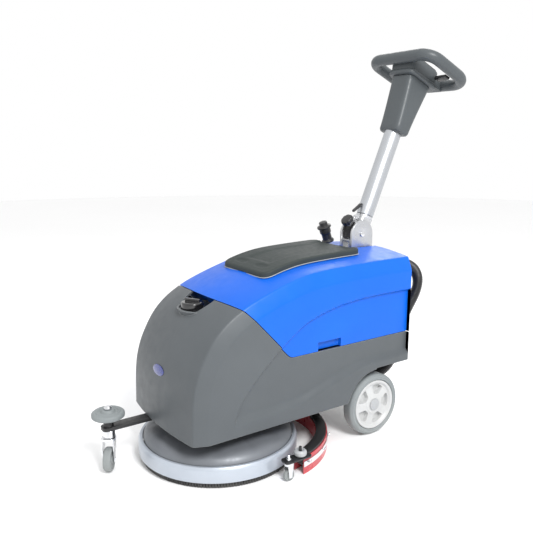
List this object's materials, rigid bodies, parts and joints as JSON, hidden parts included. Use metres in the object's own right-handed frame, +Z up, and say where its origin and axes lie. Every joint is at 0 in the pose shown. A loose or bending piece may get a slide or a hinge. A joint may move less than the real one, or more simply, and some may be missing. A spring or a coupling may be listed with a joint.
{
  "type": "walk-behind floor scrubber",
  "caption": "Walk-behind floor scrubber with a disc brush deck, curved squeegee, two tanks, transport wheels and a folding handle with a steering ring.",
  "frame": {"origin": "on the floor under the centre of the machine's plan box, hose left out", "axes": "-Y ahead past the nose, +Y towards the operator, +X to the operator's left (the side with the hose), +Z up"},
  "size_m": [0.568, 1.2703, 1.1979],
  "materials": {
    "grey_moulding": "satin",
    "blue_moulding": "semi-gloss",
    "lid_grey": "grained",
    "black_plastic": "matte",
    "band_silver": "satin",
    "dome_grey": "satin",
    "bristle_black": "nylon filament",
    "tyre_grey": "matte",
    "rim_white": "moulded",
    "cap_grey": "moulded",
    "cast_silver": "die-cast, bright",
    "pole_silver": "anodised",
    "chrome": "polished",
    "painted_black": "powder coat",
    "squeegee_red": "smooth",
    "head_grey": "satin",
    "badge_blue": "domed",
    "battery_grey": "moulded",
    "seal_rubber": "soft"
  },
  "bodies": {
    "machine_frame": {"chassis_frame": "painted_black", "lower_housing": "grey_moulding", "badge": "badge_blue", "battery_left": "battery_grey", "battery_right": "battery_grey", "vacuum_motor": "cast_silver", "control_unit": "black_plastic", "handle_post": "painted_black", "solution_valve": "black_plastic", "rear_axle": "painted_black", "front_arm": "painted_black", "hinge_bracket": "cast_silver", "hinge_pin": "chrome", "vacuum_hose": "black_plastic"},
    "recovery_tank": {"recovery_tank": "blue_moulding", "drain_cuff": "black_plastic"},
    "tank_lid": {"tank_lid": "lid_grey", "lid_seal": "seal_rubber"},
    "drain_cap": {"drain_cap": "black_plastic"},
    "filler_cap": {"filler_cap": "black_plastic"},
    "left_wheel": {"left_tyre": "tyre_grey", "left_rim": "rim_white", "left_hub_cap": "cap_grey"},
    "right_wheel": {"right_tyre": "tyre_grey", "right_rim": "rim_white", "right_hub_cap": "cap_grey"},
    "bumper_roller": {"bumper_roller": "tyre_grey"},
    "caster_swivel": {"caster_fork": "chrome"},
    "caster_wheel": {"caster_wheel": "tyre_grey"},
    "deck": {"deck_dome": "dome_grey", "splash_band": "band_silver", "brush_motor": "painted_black"},
    "brush": {"brush_block": "black_plastic", "brush_bristles": "bristle_black"},
    "lift_pedal": {"lift_pedal": "painted_black"},
    "squeegee_carrier": {"squeegee_yoke": "painted_black", "suction_elbow": "black_plastic"},
    "squeegee": {"squeegee_body": "black_plastic", "rear_blade": "squeegee_red", "front_blade": "squeegee_red", "blade_clamp": "chrome"},
    "left_end_roller": {"left_end_roller": "cap_grey"},
    "right_end_roller": {"right_end_roller": "cap_grey"},
    "left_end_swivel": {"left_end_fork": "chrome"},
    "right_end_swivel": {"right_end_fork": "chrome"},
    "left_end_wheel": {"left_end_wheel": "tyre_grey"},
    "right_end_wheel": {"right_end_wheel": "tyre_grey"},
    "handle": {"pole_foot": "cast_silver", "tooth_sector": "black_plastic", "pole": "pole_silver", "head_column": "head_grey", "handle_ring": "head_grey", "control_panel": "black_plastic"},
    "fold_knob": {"fold_knob": "black_plastic"},
    "fold_lever": {"fold_lever": "black_plastic"},
    "brush_switch": {"brush_switch": "squeegee_red"},
    "vacuum_switch": {"vacuum_switch": "squeegee_red"},
    "key_switch": {"key_switch": "chrome"},
    "left_trigger": {"left_trigger": "black_plastic"},
    "right_trigger": {"right_trigger": "black_plastic"}
  },
  "joints": [
    {"name": "tank_lift", "type": "slide", "parent": "machine_frame", "child": "recovery_tank", "axis": [0, 0, 1], "range_m": [0, 0.06]},
    {"name": "lid_open", "type": "hinge", "parent": "recovery_tank", "child": "tank_lid", "pos_m": [0, 0.17968, 0.58], "axis": [-1, 0, 0], "range_deg": [0, 70]},
    {"name": "drain_cap_pull", "type": "slide", "parent": "recovery_tank", "child": "drain_cap", "axis": [0, -0.342, 0.9397], "range_m": [0, 0.03]},
    {"name": "filler_cap_lift", "type": "slide", "parent": "machine_frame", "child": "filler_cap", "axis": [0, 0, 1], "range_m": [0, 0.03]},
    {"name": "left_wheel_spin", "type": "hinge", "parent": "machine_frame", "child": "left_wheel", "pos_m": [0.176, 0.17568, 0.0985], "axis": [1, 0, 0], "continuous": true},
    {"name": "right_wheel_spin", "type": "hinge", "parent": "machine_frame", "child": "right_wheel", "pos_m": [-0.176, 0.17568, 0.0985], "axis": [1, 0, 0], "continuous": true},
    {"name": "bumper_spin", "type": "hinge", "parent": "machine_frame", "child": "bumper_roller", "pos_m": [-0.07, -0.58932, 0.165], "axis": [0, 0, 1], "continuous": true},
    {"name": "caster_swivel_turn", "type": "hinge", "parent": "machine_frame", "child": "caster_swivel", "pos_m": [-0.07, -0.58932, 0.1], "axis": [0, 0, 1], "continuous": true},
    {"name": "caster_wheel_spin", "type": "hinge", "parent": "caster_swivel", "child": "caster_wheel", "pos_m": [-0.06011, -0.59612, 0.034], "axis": [0.5664, 0.8241, 0], "continuous": true},
    {"name": "deck_lift", "type": "slide", "parent": "machine_frame", "child": "deck", "axis": [0, 0, 1], "range_m": [0, 0.02]},
    {"name": "brush_spin", "type": "hinge", "parent": "deck", "child": "brush", "pos_m": [0, -0.27732, 0.03], "axis": [0, 0, 1], "continuous": true},
    {"name": "pedal_press", "type": "hinge", "parent": "machine_frame", "child": "lift_pedal", "pos_m": [-0.092, 0.24268, 0.19], "axis": [-1, 0, 0], "range_deg": [0, 20]},
    {"name": "squeegee_lift", "type": "slide", "parent": "machine_frame", "child": "squeegee_carrier", "axis": [0, 0, 1], "range_m": [0, 0.02], "deforming": ["vacuum_hose"]},
    {"name": "squeegee_swing", "type": "hinge", "parent": "squeegee_carrier", "child": "squeegee", "pos_m": [0, 0.04668, 0.056], "axis": [0, 0, 1], "range_deg": [-2.5, 2.5]},
    {"name": "left_end_roller_spin", "type": "hinge", "parent": "squeegee", "child": "left_end_roller", "pos_m": [0.265, -0.17032, 0.068], "axis": [0, 0, 1], "continuous": true},
    {"name": "left_end_swivel_turn", "type": "hinge", "parent": "squeegee", "child": "left_end_swivel", "pos_m": [0.27, -0.21332, 0.05], "axis": [0, 0, 1], "continuous": true},
    {"name": "left_end_wheel_spin", "type": "hinge", "parent": "left_end_swivel", "child": "left_end_wheel", "pos_m": [0.27, -0.21332, 0.016], "axis": [1, 0, 0], "continuous": true},
    {"name": "right_end_roller_spin", "type": "hinge", "parent": "squeegee", "child": "right_end_roller", "pos_m": [-0.265, -0.17032, 0.068], "axis": [0, 0, 1], "continuous": true},
    {"name": "right_end_swivel_turn", "type": "hinge", "parent": "squeegee", "child": "right_end_swivel", "pos_m": [-0.27, -0.21332, 0.05], "axis": [0, 0, 1], "continuous": true},
    {"name": "right_end_wheel_spin", "type": "hinge", "parent": "right_end_swivel", "child": "right_end_wheel", "pos_m": [-0.27, -0.21332, 0.016], "axis": [1, 0, 0], "continuous": true},
    {"name": "handle_fold", "type": "hinge", "parent": "machine_frame", "child": "handle", "pos_m": [0, 0.25968, 0.612], "axis": [1, 0, 0], "range_deg": [-15, 50]},
    {"name": "fold_knob_turn", "type": "hinge", "parent": "handle", "child": "fold_knob", "pos_m": [0, 0.22622, 0.64916], "axis": [0, -0.6691, 0.7431], "range_deg": [-90, 90]},
    {"name": "fold_lever_pull", "type": "hinge", "parent": "handle", "child": "fold_lever", "pos_m": [0, 0.27669, 0.70738], "axis": [-1, 0, 0], "range_deg": [0, 12]},
    {"name": "brush_switch_rock", "type": "hinge", "parent": "handle", "child": "brush_switch", "pos_m": [0.02, 0.51682, 1.16113], "axis": [1, 0, 0], "range_deg": [-6, 6]},
    {"name": "vacuum_switch_rock", "type": "hinge", "parent": "handle", "child": "vacuum_switch", "pos_m": [-0.02, 0.51682, 1.16113], "axis": [1, 0, 0], "range_deg": [-6, 6]},
    {"name": "key_turn", "type": "hinge", "parent": "handle", "child": "key_switch", "pos_m": [0, 0.55091, 1.14922], "axis": [0, 0.402, 0.9157], "range_deg": [0, 90]},
    {"name": "left_trigger_press", "type": "hinge", "parent": "handle", "child": "left_trigger", "pos_m": [0.0545, 0.55318, 1.11459], "axis": [0, 0.9157, -0.402], "range_deg": [0, 8]},
    {"name": "right_trigger_press", "type": "hinge", "parent": "handle", "child": "right_trigger", "pos_m": [-0.0545, 0.55318, 1.11459], "axis": [0, -0.9157, 0.402], "range_deg": [0, 8]}
  ],
  "couplings": [
    {"joint": "pedal_press", "follows": "deck_lift", "rad_per_m": 17.4}
  ]
}
